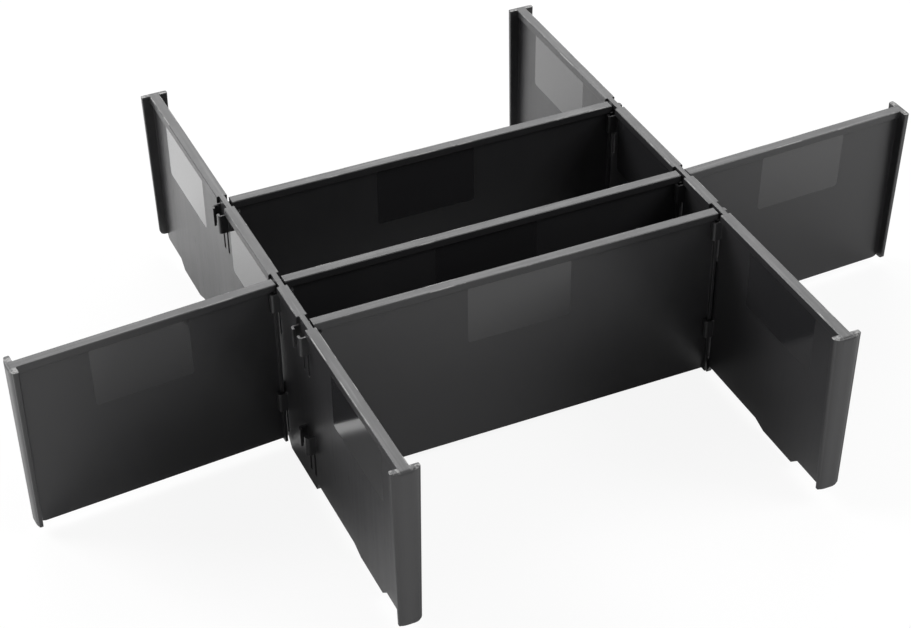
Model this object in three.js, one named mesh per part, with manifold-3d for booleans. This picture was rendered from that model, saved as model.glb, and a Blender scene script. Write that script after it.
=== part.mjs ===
// A plug-together set of dividers that splits a shallow case into compartments: two long dividers
// stand side by side, three cross dividers hook in between them and one outer divider hooks on to
// the outside of each. Every divider is one thin plastic moulding. Millimetres, +Z up, X across the
// set, Y along the long dividers, origin on the ground under the middle of the set.
import * as THREE from "three";
import { mergeVertices } from "three/addons/utils/BufferGeometryUtils.js";
import Module from "manifold-3d";

// The set
const dividerSpacing = 167.4; // between the centre planes of the long dividers
const stationPitch = 28.2; // module on which the hook stations lie
const stationShift = -0.6; // of all the stations from the middle of the long divider
const stationSteps = { front: -1.5, middle: -0.5, back: 1.5 }; // in modules
const longLength = 263; // long divider, over its two flanges
const outerLength = 101.5; // outer divider, from its head to the face of its flange
const height = 77; // ground to the top of the rims

// Section of every divider
const plateThickness = 2;
const rimWidth = 4.3;
const rimHeight = 3;
const rimBevel = 0.25;

// Flange that closes a free end
const flangeWidth = 11;
const flangeFootWidth = 8.7;
const flangeThickness = 3;
const flangeFootThickness = 2;
const flangeFlat = 3.4; // width of the flat strip down the middle of its face
const flangeCrown = 0.7; // how far its face falls back towards the tips
const flangeTipRadius = 0.9; // on the face side
const flangeTipEdge = 0.3; // bevel on the plate side
const longFlangeFoot = 7.8; // height of its lower end
const outerFlangeFoot = 4.5;
const flangeTopRadius = 1.4;
const webCorner = 2.6; // length of the rounded corner where a plate meets its flange
const webCornerRise = 2.4;

// Head on the end that hooks in
const headWidth = 5;
const headThickness = 1.1;
const headDrop = 0.8; // how far a head reaches below its plate
const outerHeadDrop = 1;

// Hooks at each station
const hookHeight = 8;
const hookLip = 1; // thickness of the lip that holds a head
const hookWall = 0.75;
const hookRadius = 1.2;
const hookRoot = 0.4; // how deep a hook is rooted in its plate
const lowerHookTop = 27.3; // tops of the lower hooks above the ground

// Slits in the plate under each pair of hooks
const slitWidth = 1.8;
const slitSpacing = 4.6;
const slitDrop = 1; // below the hooks
const upperSlitHeight = 10.5;
const lowerSlitHeight = 11.5;

// Fits
const seatGap = 0.3; // rim of a hooked-in divider above the hooks
const headSideGap = 1.05; // each side of a head inside its hooks
const slotSideGap = 1; // each side of a plate between two lips
const headPlay = 1.5; // along the divider, head inside its hooks
const crossPlay = 1.15; // cross divider between the two long dividers

// Lower edge of the plates
const longEdge = [[16, 4], [19, 0], [45, 0], [47, 4], [82, 4], [88, 2], [108, 2], [112, 5.6]];
const crossBottom = 2.6;
const outerBottom = 4;

// Rim of a cross divider, how far it stops short of the head's face at each end
const crossRimSetback = 0.5;

// Rounded wing tips at the foot of the flanges
const longWingCut = 2.5;
const leftWingCut = 7;
const rightWingCut = 1.7;

// How the loose dividers lie in their hooks; angles in degrees, a lean takes the top to the front
const crossPlaces = { front: [-0.1, -0.6], middle: [-0.2, -0.2], back: [-0.2, 0.4] };
const longYaw = { left: 0.33, right: 0 }; // about the middle station
const leftOuter = { side: -1, yaw: 4.2, lean: 0, shift: -0.6, headGap: 0.95 };
const rightOuter = { side: 1, yaw: 2.4, lean: 1.25, shift: 0, headGap: 0.4 };

const curveSegments = 5;
const cutMargin = 1; // how far a cut runs past the face that it opens

const halfPlate = plateThickness / 2;
const rimUnderside = height - rimHeight;
const hookTop = rimUnderside - seatGap;
const slotHalf = halfPlate + slotSideGap;
const channelHalf = headWidth / 2 + headSideGap;
const hookHalf = channelHalf + hookWall;
const lipInner = halfPlate + headThickness + headPlay;
const lipOuter = lipInner + hookLip;
const crossLength = dividerSpacing - plateThickness - crossPlay;
const hooksMiddle = (hookTop + lowerHookTop - hookHeight) / 2;

const wasm = await Module();
wasm.setup();

// A closed geometry as a solid that can be joined and cut
function solid(geometry) {
  geometry.deleteAttribute("normal");
  geometry.deleteAttribute("uv");
  const merged = mergeVertices(geometry);
  return new wasm.Manifold(new wasm.Mesh({
    numProp: 3,
    vertProperties: new Float32Array(merged.attributes.position.array),
    triVerts: new Uint32Array(merged.index.array),
  }));
}

function block(low, high) {
  const size = high.map((value, axis) => value - low[axis]);
  const geometry = new THREE.BoxGeometry(...size);
  geometry.translate(...low.map((value, axis) => value + size[axis] / 2));
  return solid(geometry);
}

function extruded(outline, depth) {
  return new THREE.ExtrudeGeometry(outline, { depth, bevelEnabled: false, curveSegments });
}

// An outline drawn in plan, raised from one height to another
function raised(outline, bottom, top) {
  return extruded(outline, top - bottom).translate(0, 0, bottom);
}

// An outline of length and height, given a thickness across
function acrossSolid(outline, thickness) {
  return solid(extruded(outline, thickness).translate(0, 0, -thickness / 2).rotateX(Math.PI / 2));
}

// An outline of width and height, drawn out along the divider
function alongSolid(outline, start, end) {
  const turn = new THREE.Matrix4().set(0, 0, 1, start, 1, 0, 0, 0, 0, 1, 0, 0, 0, 0, 0, 1);
  return solid(extruded(outline, end - start).applyMatrix4(turn));
}

function polygon(points) {
  return new THREE.Shape(points.map(([x, y]) => new THREE.Vector2(x, y)));
}

function rim(start, end) {
  const half = rimWidth / 2;
  const shoulder = height - rimBevel;
  return alongSolid(polygon([
    [-half, rimUnderside],
    [half, rimUnderside],
    [half, shoulder],
    [half - rimBevel, height],
    [rimBevel - half, height],
    [-half, shoulder],
  ]), start, end);
}

// Flange in plan, its face on the line of zero depth, thinner and narrower towards its foot
function flangeBody(face, sign, foot) {
  const half = flangeWidth / 2;
  const shoulder = half - flangeTipRadius;
  const flat = flangeFlat / 2;
  const bend = (flat + half) / 2;
  const outline = new THREE.Shape();
  outline.moveTo(-flat, 0);
  outline.lineTo(flat, 0);
  outline.quadraticCurveTo(bend, flangeCrown / 6, shoulder, flangeCrown);
  outline.quadraticCurveTo(half, flangeCrown, half, flangeCrown + flangeTipRadius);
  outline.lineTo(half, flangeThickness - flangeTipEdge);
  outline.lineTo(half - flangeTipEdge, flangeThickness);
  outline.lineTo(flangeTipEdge - half, flangeThickness);
  outline.lineTo(-half, flangeThickness - flangeTipEdge);
  outline.lineTo(-half, flangeCrown + flangeTipRadius);
  outline.quadraticCurveTo(-half, flangeCrown, -shoulder, flangeCrown);
  outline.quadraticCurveTo(-bend, flangeCrown / 6, -flat, 0);
  const geometry = raised(outline, foot, height);
  const place = geometry.attributes.position;
  for (let i = 0; i < place.count; i += 1) {
    const fall = (height - place.getZ(i)) / (height - foot);
    const narrowing = 1 - fall * (1 - flangeFootWidth / flangeWidth);
    const thinning = 1 - fall * (1 - flangeFootThickness / flangeThickness);
    place.setXYZ(i, place.getX(i) * narrowing, place.getY(i) * thinning, place.getZ(i));
  }
  geometry.rotateZ(sign * Math.PI / 2).translate(face, 0, 0);
  return solid(geometry);
}

// Rounds the lower tip of one wing; hand is the side of the divider that the wing is on
function wingCut(face, sign, foot, hand, cut) {
  const tip = flangeFootWidth / 2;
  const past = flangeWidth / 2 + cutMargin;
  const root = (halfPlate + tip) / 3;
  const outline = new THREE.Shape();
  outline.moveTo(hand * root, foot - cutMargin);
  outline.lineTo(hand * past, foot - cutMargin);
  outline.lineTo(hand * past, foot + cut);
  outline.lineTo(hand * tip, foot + cut);
  outline.quadraticCurveTo(hand * tip, foot, hand * root, foot);
  const inner = face - sign * (flangeThickness + cutMargin);
  const outer = face + sign * cutMargin;
  return alongSolid(outline, Math.min(inner, outer), Math.max(inner, outer));
}

function flange(face, sign, foot, hand, cut) {
  return flangeBody(face, sign, foot).subtract(wingCut(face, sign, foot, hand, cut));
}

// Rounds the outer top edge of a flange together with the end of its rim
function topRounding(face, sign) {
  const start = face - sign * flangeTopRadius;
  const outline = new THREE.Shape();
  outline.moveTo(start, height);
  outline.quadraticCurveTo(face, height, face, height - flangeTopRadius);
  outline.lineTo(face + sign * cutMargin, height - flangeTopRadius);
  outline.lineTo(face + sign * cutMargin, height + cutMargin);
  outline.lineTo(start, height + cutMargin);
  return acrossSolid(outline, flangeWidth + cutMargin);
}

// The end of a plate's outline, rounded up from its lower edge to the flange on its far end
function cornerToFlange(outline, face, bottom) {
  const inner = face - flangeFootThickness;
  const middle = face - flangeFootThickness / 2;
  outline.lineTo(inner - webCorner, bottom);
  outline.quadraticCurveTo(inner, bottom, inner, bottom + webCornerRise);
  outline.lineTo(middle, bottom + webCornerRise);
  outline.lineTo(middle, rimUnderside + rimHeight / 2);
}

function head(start, sign, bottom) {
  const inner = start - sign * headThickness;
  const half = headWidth / 2;
  const low = [Math.min(start, inner), -half, bottom];
  const high = [Math.max(start, inner), half, rimUnderside];
  return block(low, high);
}

// One hook in plan: a wall out from the plate and a lip turned in towards the slot
function hook(station, top, hand, face) {
  const root = face * (halfPlate - hookRoot);
  const outline = new THREE.Shape();
  outline.moveTo(station + hand * channelHalf, root);
  outline.lineTo(station + hand * hookHalf, root);
  outline.lineTo(station + hand * hookHalf, face * (lipOuter - hookRadius));
  outline.quadraticCurveTo(
    station + hand * hookHalf, face * lipOuter,
    station + hand * (hookHalf - hookRadius), face * lipOuter,
  );
  outline.lineTo(station + hand * slotHalf, face * lipOuter);
  outline.lineTo(station + hand * slotHalf, face * lipInner);
  outline.lineTo(station + hand * channelHalf, face * lipInner);
  return solid(raised(outline, top - hookHeight, top));
}

function slit(station, top, slitHeight, hand) {
  const middle = station + hand * slitSpacing / 2;
  return block(
    [middle - slitWidth / 2, -halfPlate - cutMargin, top - slitHeight],
    [middle + slitWidth / 2, halfPlate + cutMargin, top],
  );
}

function stationPlace(step) {
  return step * stationPitch + stationShift;
}

// Everything that one station adds to a long divider or cuts from it
function addStation(body, station) {
  let result = body;
  for (const face of [-1, 1]) {
    const near = face * halfPlate;
    const far = face * (rimWidth / 2 + cutMargin);
    result = result.subtract(block(
      [station - hookHalf, Math.min(near, far), rimUnderside - seatGap],
      [station + hookHalf, Math.max(near, far), height + cutMargin],
    ));
    for (const hand of [-1, 1]) {
      result = result.add(hook(station, hookTop, hand, face));
      result = result.add(hook(station, lowerHookTop, hand, face));
    }
  }
  const slitTop = hookTop - hookHeight - slitDrop;
  const lowerSlitTop = lowerHookTop - hookHeight - slitDrop;
  for (const hand of [-1, 1]) {
    result = result.subtract(slit(station, slitTop, upperSlitHeight, hand));
    result = result.subtract(slit(station, lowerSlitTop, lowerSlitHeight, hand));
  }
  return result;
}

// Long divider along X, its middle at the origin
function longDivider() {
  const face = longLength / 2;
  const outline = new THREE.Shape();
  outline.moveTo(0, longEdge[0][1]);
  for (const [reach, level] of longEdge) outline.lineTo(reach, level);
  cornerToFlange(outline, face, longEdge[longEdge.length - 1][1]);
  outline.lineTo(0, rimUnderside + rimHeight / 2);
  const half = acrossSolid(outline, plateThickness);
  let body = half.add(half.rotate([0, 0, 180])).add(rim(-face, face));
  for (const sign of [-1, 1]) {
    body = body.add(flange(face * sign, sign, longFlangeFoot, sign, longWingCut));
    body = body.subtract(topRounding(face * sign, sign));
  }
  for (const step of Object.values(stationSteps)) body = addStation(body, stationPlace(step));
  return body;
}

// Cross divider along X, its middle at the origin, a head on each end
function crossDivider() {
  const end = crossLength / 2;
  const rimEnd = end - crossRimSetback;
  const inner = end - headThickness / 2;
  const webEnd = Math.min(rimEnd, inner);
  const webTop = rimUnderside + rimHeight / 2;
  return block([-inner, -halfPlate, crossBottom], [inner, halfPlate, rimUnderside])
    .add(block([-webEnd, -halfPlate, crossBottom], [webEnd, halfPlate, webTop]))
    .add(rim(-rimEnd, rimEnd))
    .add(head(-end, -1, crossBottom - headDrop))
    .add(head(end, 1, crossBottom - headDrop));
}

// Outer divider along X, its head at the origin, its flange at the far end
function outerDivider(cut) {
  const outline = new THREE.Shape();
  outline.moveTo(headThickness / 2, rimUnderside + rimHeight / 2);
  outline.lineTo(headThickness / 2, outerBottom);
  cornerToFlange(outline, outerLength, outerBottom);
  return acrossSolid(outline, plateThickness)
    .add(rim(0, outerLength))
    .add(head(0, -1, outerBottom - outerHeadDrop))
    .add(flange(outerLength, 1, outerFlangeFoot, -1, cut))
    .subtract(topRounding(outerLength, 1));
}

function named(name, body, colour) {
  const { vertProperties, triVerts } = body.getMesh();
  const geometry = new THREE.BufferGeometry();
  geometry.setAttribute("position", new THREE.BufferAttribute(vertProperties, 3));
  geometry.setIndex(new THREE.BufferAttribute(triVerts, 1));
  geometry.computeVertexNormals();
  const material = new THREE.MeshStandardMaterial({ color: colour, roughness: 0.4, metalness: 0 });
  const mesh = new THREE.Mesh(geometry, material);
  mesh.name = name;
  return mesh;
}

const caseDividers = new THREE.Group();

const middleStation = stationPlace(stationSteps.middle);

for (const [place, side] of [["left", -1], ["right", 1]]) {
  const mesh = named(`long_divider_${place}`, longDivider(), "#262829");
  mesh.position.x = -middleStation;
  const seat = new THREE.Group();
  seat.position.set(side * dividerSpacing / 2, middleStation, 0);
  seat.rotation.z = Math.PI / 2 + THREE.MathUtils.degToRad(longYaw[place]);
  seat.add(mesh);
  caseDividers.add(seat);
}

for (const [place, step] of Object.entries(stationSteps)) {
  const mesh = named(`cross_divider_${place}`, crossDivider(), "#232526");
  const [shiftX, shiftY] = crossPlaces[place];
  mesh.position.set(shiftX, stationPlace(step) + shiftY, 0);
  caseDividers.add(mesh);
}

// An outer divider hangs in the outward hooks of the middle station, turned and leaned in their play
function addOuter(name, { side, yaw, lean, shift, headGap }, cut) {
  const mesh = named(name, outerDivider(cut), "#282a2b");
  const lipMiddle = (lipInner + lipOuter) / 2;
  mesh.position.set(halfPlate + headGap - lipMiddle, 0, -hooksMiddle);
  const seat = new THREE.Group();
  seat.position.set(
    side * (dividerSpacing / 2 + lipMiddle),
    middleStation + shift,
    hooksMiddle,
  );
  const outward = side < 0 ? Math.PI : 0;
  seat.rotation.order = "ZYX";
  seat.rotation.x = side * THREE.MathUtils.degToRad(lean);
  seat.rotation.z = outward + THREE.MathUtils.degToRad(yaw);
  seat.add(mesh);
  caseDividers.add(seat);
}

addOuter("outer_divider_left", leftOuter, leftWingCut);
addOuter("outer_divider_right", rightOuter, rightWingCut);

export default caseDividers;
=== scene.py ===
import math

import bpy
import numpy as np
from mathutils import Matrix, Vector

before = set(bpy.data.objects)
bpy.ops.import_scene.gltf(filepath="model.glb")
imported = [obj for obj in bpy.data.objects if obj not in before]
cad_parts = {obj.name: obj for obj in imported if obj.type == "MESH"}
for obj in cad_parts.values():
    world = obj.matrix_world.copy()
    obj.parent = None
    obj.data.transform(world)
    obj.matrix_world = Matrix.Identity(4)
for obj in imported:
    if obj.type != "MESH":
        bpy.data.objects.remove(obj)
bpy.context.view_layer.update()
print("frame loaded:", len(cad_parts), "nodes")


# One shader graph: nodes are added by type and joined socket by socket
class Graph:
    def __init__(self, owner):
        owner.use_nodes = True
        self.tree = owner.node_tree
        self.tree.nodes.clear()

    def put(self, node, key, value):
        if isinstance(value, bpy.types.NodeSocket):
            self.tree.links.new(value, node.inputs[key])
        else:
            node.inputs[key].default_value = value

    def add(self, kind, values, **settings):
        node = self.tree.nodes.new("ShaderNode" + kind)
        for key, value in settings.items():
            setattr(node, key, value)
        for key, value in values.items():
            self.put(node, key, value)
        return node

    def sums(self, operation, first, *rest):  # worked from the left; a lone value needs no second
        for value in rest or (0.0,):
            first = self.add("Math", {0: first, 1: value}, operation=operation).outputs[0]
        return first

    def plus(self, *values):
        return self.sums("ADD", *values)

    def minus(self, first, second):
        return self.sums("SUBTRACT", first, second)

    def times(self, *values):
        return self.sums("MULTIPLY", *values)

    def size(self, value):
        return self.sums("ABSOLUTE", value)

    def vector(self, operation, first, second):
        return self.add("VectorMath", {0: first, 1: second}, operation=operation).outputs[0]

    def dot(self, first, second):
        return self.add("VectorMath", {0: first, 1: second}, operation="DOT_PRODUCT").outputs[1]

    def axes(self, vector):
        return self.add("SeparateXYZ", {0: vector}).outputs

    def ramp(self, value, low, high, start=0.0, end=1.0):  # eased from start to end
        return self.add("MapRange", {0: value, 1: low, 2: high, 3: start, 4: end},
                        interpolation_type="SMOOTHSTEP").outputs[0]

    def brink(self, value, at, soft, start=0.0, end=1.0):  # a ramp as wide as soft on both sides
        return self.ramp(value, at - soft, at + soft, start, end)

    def mix(self, share, first, second):
        return self.add("Mix", {0: share, 2: first, 3: second}, data_type="FLOAT").outputs[0]

    def tint(self, share, first, second):
        return self.add("Mix", {0: share, 6: first, 7: second}, data_type="RGBA").outputs[2]

    def noise(self, place, scale, detail, rough, stretch):
        return self.add("TexNoise", {"Vector": self.vector("MULTIPLY", place, stretch), "Scale": scale,
                                     "Detail": detail, "Roughness": rough}).outputs[0]

    def rounding(self, radius, samples):
        return self.add("Bevel", {"Radius": radius}, samples=samples).outputs[0]


# label fields in the dividers' own lengths: metres along from the piece's own middle or seat, as
# the field's middle and half its length
labelFields = {
    "height": 0.0610,
    "halfHeight": 0.0125,
    "corner": 0.0014,
    "softness": 0.00022,
    "long": [(-0.0900, 0.0223), (0.0135, 0.0223), (0.0900, 0.0223)],
    "cross": [(-0.0005, 0.0210)],
    "outer": [(0.0509, 0.0190)],
}

# cells per metre, detail, roughness and stretch, which makes the cells longer where it is below one;
# each one lies about a half
noises = {
    "cloud": (34.0, 3.0, 0.50, (1.0, 1.0, 1.0)),
    "flow": (75.0, 3.0, 0.55, (1.0, 1.0, 0.10)),  # faint streaks up the plate
    "grain": (3400.0, 2.0, 0.60, (1.0, 1.0, 1.0)),
    "scuff": (520.0, 5.0, 0.70, (1.0, 1.0, 0.22)),
    "wave": (15.0, 1.0, 0.40, (1.0, 1.0, 1.0)),
    "drawn": (620.0, 2.0, 0.50, (1.0, 1.0, 0.03)),  # fine marks up the faces
    "streak": (900.0, 3.0, 0.60, (0.03, 1.0, 1.0)),  # fine marks along the rims
    "speck": (820.0, 3.0, 0.55, (1.0, 1.0, 1.0)),
    "patch": (62.0, 4.0, 0.60, (1.0, 1.0, 1.0)),
}
seedStep = 0.37
seedWay = (1.0, 0.7, 1.3)  # the way that each divider's noise is moved by its seed

# a pair of numbers is where a ramp starts and ends
darkPlastic = {
    "deep": (0.0150, 0.0149, 0.0160, 1.0),
    "pale": (0.0215, 0.0212, 0.0225, 1.0),
    "cloudShare": 0.6,
    "grainShare": 0.4,
    # lighter colour on worn edges and on streaks along the tops: partly wear, partly painted highlight
    # and sheen
    "rubbedAndSheen": (0.0420, 0.0415, 0.0430, 1.0),
    "satin": 0.36,
    "satinSwing": 0.10,
    "scuffed": (0.58, 0.76),
    "scuffing": 0.10,
    "wornGloss": 0.10,
    "drawMarks": 0.07,
    "polished": 0.10,
    "polishedScuffing": 0.4,  # share of the scuffing left on a label field
    "ior": 1.52,
    "fieldCoat": 0.42,
    "coatRough": 0.06,
    "coatIor": 1.5,
    "grainDepth": 0.0000035,
    "waveDepth": 0.00010,
    "edgeRound": 0.00030,
    "roundSamples": 6,
}

# edges painted lighter: partly wear, partly a painted highlight weighted towards edges that face up
edgeWearAndHighlight = {
    "reach": 0.00070,
    "turn": (0.02, 0.30),
    "patches": (0.36, 0.62),
    "upTurn": (0.0, 0.45),
    "onWalls": 0.30,  # share of the wear and painted highlight left on upright edges
}

topFaces = {
    "upTurn": (0.55, 0.95),
    # where the lighter streaks along the top faces lie: partly rub marks, partly painted sheen
    "rubLinesAndSheen": (0.50, 0.72),
    "streaks": 0.20,
    "patches": 0.16,
    "flangeStart": {"long": 0.1275, "cross": 1.0, "outer": 0.0945},  # a cross divider has no flange
    "flangeSoft": 0.0005,
    # painted highlight, in specks, on the tops of the flange wings
    "flangeGlintColour": (0.1900, 0.1880, 0.1860, 1.0),
    "flangeGlints": (0.44, 0.58),
    "glintApart": 0.0021,  # the painted highlight specks keep this far from the middle of the flange
    "glintSoft": 0.0006,
    # burrs along the rim edges, painted as bright highlight slivers
    "burrHighlight": (0.3000, 0.2980, 0.2950, 1.0),
    "burrHighlightPatches": (0.54, 0.62),
    "burrHighlightBand": (0.00175, 0.00240),  # from the middle of a rim to its edge
    "burrHighlightSoft": 0.0001,
}


# A field is a rounded rectangle: its edge lies where length(max(|p - centre| - half + corner, 0))
# equals the corner radius, and the share goes from one inside to none outside over the softness.
def fieldShare(g, along, height, kind):
    corner, soft = labelFields["corner"], labelFields["softness"]
    up = g.size(g.minus(height, labelFields["height"]))
    up = g.sums("MAXIMUM", g.minus(up, labelFields["halfHeight"] - corner), 0.0)
    shares = []
    for centre, half in labelFields[kind]:
        side = g.size(g.minus(along, centre))
        side = g.sums("MAXIMUM", g.minus(side, half - corner), 0.0)
        reach = g.sums("SQRT", g.plus(g.times(side, side), g.times(up, up)))
        shares.append(g.brink(reach, corner, soft, 1.0, 0.0))
    return g.plus(*shares)


def mouldedPlastic(name, kind, seat, turns, seed):
    material = bpy.data.materials.new(name)
    g = Graph(material)
    look = darkPlastic
    place = g.add("TexCoord", {}).outputs["Object"]
    own = g.add("Mapping", {"Vector": place, "Location": seat, "Rotation": turns},
                vector_type="TEXTURE").outputs[0]
    along, across, up = g.axes(own)
    field = fieldShare(g, along, g.plus(up, seat[2]), kind)
    plate = g.minus(1.0, field)
    spot = g.vector("ADD", own, [seed * way for way in seedWay])
    n = {key: g.noise(spot, *values) for key, values in noises.items()}

    # worn edges, partly wear and partly a painted highlight that is stronger on edges facing up: where
    # a wide rounding turns the surface away from its own direction
    flat = g.add("NewGeometry", {}).outputs["True Normal"]
    wide = g.rounding(edgeWearAndHighlight["reach"], look["roundSamples"])
    edge = g.ramp(g.minus(1.0, g.dot(wide, flat)), *edgeWearAndHighlight["turn"])
    facing = g.ramp(g.axes(wide)[2], *edgeWearAndHighlight["upTurn"], edgeWearAndHighlight["onWalls"], 1.0)
    wornAndHighlit = g.times(edge, facing, g.ramp(n["scuff"], *edgeWearAndHighlight["patches"]))

    # faces that look up: the rims along the dividers and the ends of the flanges
    upward = g.ramp(g.axes(flat)[2], *topFaces["upTurn"])
    atFlange = g.brink(g.size(along), topFaces["flangeStart"][kind], topFaces["flangeSoft"])
    # lighter streaks along the top faces: partly rub marks, partly painted sheen
    rubLinesAndSheen = g.times(upward, g.ramp(n["streak"], *topFaces["rubLinesAndSheen"]))
    apart = g.brink(g.size(across), topFaces["glintApart"], topFaces["glintSoft"])
    # painted highlight in specks on the tops of the flange wings
    flangeGlints = g.times(upward, atFlange, apart, g.ramp(n["speck"], *topFaces["flangeGlints"]))

    # bright slivers here and there along the edges of the rims: burrs, painted as highlights
    inner, outer = topFaces["burrHighlightBand"]
    band = g.times(g.brink(g.size(across), inner, topFaces["burrHighlightSoft"]),
                   g.brink(g.size(across), outer, topFaces["burrHighlightSoft"], 1.0, 0.0))
    burrHighlight = g.times(band, upward, g.minus(1.0, atFlange), g.ramp(n["patch"], *topFaces["burrHighlightPatches"]))

    grain = g.times(n["grain"], plate)  # the label fields have none
    share = g.plus(g.times(n["cloud"], look["cloudShare"]), g.times(grain, look["grainShare"]))
    colour = g.tint(share, look["deep"], look["pale"])
    # these tints paint light as well as colour: the lighter edges and top streaks are partly painted
    # highlight and sheen, and the flange specks and rim slivers are painted highlights
    for amount, shade in ((wornAndHighlit, look["rubbedAndSheen"]), (rubLinesAndSheen, look["rubbedAndSheen"]),
                          (flangeGlints, topFaces["flangeGlintColour"]), (burrHighlight, topFaces["burrHighlight"])):
        colour = g.tint(amount, colour, shade)

    swing = g.times(g.minus(g.plus(n["cloud"], n["flow"]), 1.0), look["satinSwing"])
    scratched = g.ramp(n["scuff"], *look["scuffed"], 0.0, look["scuffing"])
    satin = g.minus(g.plus(swing, scratched, look["satin"]), g.times(wornAndHighlit, look["wornGloss"]))
    marks = g.times(g.minus(n["drawn"], 0.5), look["drawMarks"])
    lines = g.times(g.minus(0.5, n["streak"]), upward, topFaces["streaks"])
    patches = g.times(g.minus(n["patch"], 0.5), upward, topFaces["patches"])
    gloss = g.plus(g.times(scratched, look["polishedScuffing"]), look["polished"])
    roughness = g.mix(field, g.plus(satin, marks, lines, patches), gloss)

    relief = g.plus(g.times(grain, look["grainDepth"]), g.times(n["wave"], look["waveDepth"]))
    rounded = g.rounding(look["edgeRound"], look["roundSamples"])
    bump = g.add("Bump", {"Strength": 1.0, "Distance": 1.0, "Height": relief,
                          "Normal": rounded}).outputs[0]

    shader = g.add("BsdfPrincipled", {"Base Color": colour, "Roughness": roughness, "IOR": look["ior"],
                                      "Normal": bump, "Coat Roughness": look["coatRough"],
                                      "Coat IOR": look["coatIor"], "Coat Normal": bump,
                                      "Coat Weight": g.times(field, look["fieldCoat"])})
    g.add("OutputMaterial", {"Surface": shader.outputs[0]})
    return material


# where each divider's own length starts: kind, seat in metres, turn about +Z and lean in degrees
dividers = {
    "long_divider_left": ("long", (-0.08378, 0.0, 0.0), 90.33, 0.0),
    "long_divider_right": ("long", (0.08370, 0.0, 0.0), 90.00, 0.0),
    "cross_divider_back": ("cross", (-0.0002, 0.0421, 0.0), 0.0, 0.0),
    "cross_divider_middle": ("cross", (-0.0002, -0.0149, 0.0), 0.0, 0.0),
    "cross_divider_front": ("cross", (-0.0001, -0.0435, 0.0), 0.0, 0.0),
    "outer_divider_left": ("outer", (-0.0878, -0.0153, 0.0465), 184.2, 0.0),
    "outer_divider_right": ("outer", (0.0878, -0.0147, 0.0465), 2.4, 1.25),
}

for count, (nodeName, (kind, seat, turn, lean)) in enumerate(dividers.items()):
    turns = (math.radians(lean), 0.0, math.radians(turn))
    plastic = mouldedPlastic(nodeName + "_plastic", kind, seat, turns, seedStep * (count + 1))
    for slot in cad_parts[nodeName].material_slots:
        slot.material = plastic
    print("finished", nodeName)

studio = {
    "floorHalf": 1.6,
    "floorLines": 9,  # along each side
    "paper": (0.86, 0.86, 0.86, 1.0),
    "white": (1.0, 1.0, 1.0, 1.0),
    "whiteShare": 0.90,  # of the floor under the object, rising to all of it further out
    "whiteReach": (0.25, 0.80),  # metres from the middle of the floor, where it starts and ends
    "worldLight": 0.27,
    "worldMirrored": 0.80,
    "aim": (0.0, 0.0, 0.04),
    "boxes": {  # place, size and power
        "backBox": ((0.45, 1.35, 1.25), (1.8, 1.1), 20.0),
        "leftBox": ((-1.30, 1.00, 1.20), (1.0, 1.0), 38.0),
        "rightBox": ((1.25, -0.75, 1.30), (1.0, 1.0), 20.0),
    },
}


def addToScene(name, data):
    thing = bpy.data.objects.new(name, data)
    bpy.context.scene.collection.objects.link(thing)
    return thing


# The floor is a flat grid: evenly spaced lines both ways, all at height zero. The camera sees it
# mostly as plain white with soft shadows left in it, and all white further out, so it has no edge.
def makeFloor():
    lines = studio["floorLines"]
    step = np.linspace(-studio["floorHalf"], studio["floorHalf"], lines)
    across, deep = np.meshgrid(step, step)
    corners = np.stack([across.ravel(), deep.ravel(), np.zeros(across.size)], axis=1)
    cells = np.arange(lines - 1)
    first = (cells[:, None] * lines + cells).ravel()
    faces = np.stack([first, first + 1, first + lines + 1, first + lines], axis=1)
    mesh = bpy.data.meshes.new("floor")
    mesh.from_pydata(corners, [], faces)
    floor = addToScene("floor", mesh)
    material = bpy.data.materials.new("paleFloor")
    g = Graph(material)
    paper = g.add("BsdfDiffuse", {"Color": studio["paper"]}).outputs[0]
    white = g.add("Emission", {"Color": studio["white"], "Strength": 1.0}).outputs[0]
    place = g.add("TexCoord", {}).outputs["Object"]
    away = g.add("VectorMath", {0: place}, operation="LENGTH").outputs["Value"]
    share = g.ramp(away, *studio["whiteReach"], studio["whiteShare"], 1.0)
    seen = g.times(g.add("LightPath", {}).outputs["Is Camera Ray"], share)
    g.add("OutputMaterial", {"Surface": g.add("MixShader", {0: seen, 1: paper, 2: white}).outputs[0]})
    mesh.materials.append(material)


def makeBox(name, place, size, power):
    light = bpy.data.lights.new(name, "AREA")
    light.shape = "RECTANGLE"
    light.size, light.size_y = size
    light.energy = power
    lamp = addToScene(name, light)
    lamp.location = place
    aim = Vector(studio["aim"]) - Vector(place)
    lamp.rotation_euler = aim.to_track_quat("-Z", "Y").to_euler()


# white to the camera, a little less in reflections, and a gentle fill for everything else
def makeWorld():
    world = bpy.data.worlds.new("studioWhite")
    g = Graph(world)
    path = g.add("LightPath", {}).outputs
    mirrored = g.times(path["Is Glossy Ray"], studio["worldMirrored"])
    share = g.sums("MAXIMUM", path["Is Camera Ray"], mirrored)
    level = g.mix(share, studio["worldLight"], 1.0)
    back = g.add("Background", {"Color": studio["white"], "Strength": level})
    g.add("OutputWorld", {"Surface": back.outputs[0]})
    bpy.context.scene.world = world


view = {
    "place": (-0.268335, -0.588803, 0.511077),
    "turn": (0.8897047, 0.0232825, -0.4079301),
    "lens": 80.662,
    "sensor": 36.0,
    "shift": (0.04944, 0.08251),
    "near": 0.01,
}


def makeCamera():
    data = bpy.data.cameras.new("camera")
    data.lens = view["lens"]
    data.sensor_width = view["sensor"]
    data.shift_x, data.shift_y = view["shift"]
    data.clip_start = view["near"]
    eye = addToScene("camera", data)
    eye.location = view["place"]
    eye.rotation_euler = view["turn"]
    bpy.context.scene.camera = eye


makeFloor()
for boxName, (place, size, power) in studio["boxes"].items():
    makeBox(boxName, place, size, power)
makeWorld()
makeCamera()
bpy.context.scene.view_settings.view_transform = "Standard"
print("studio ready")
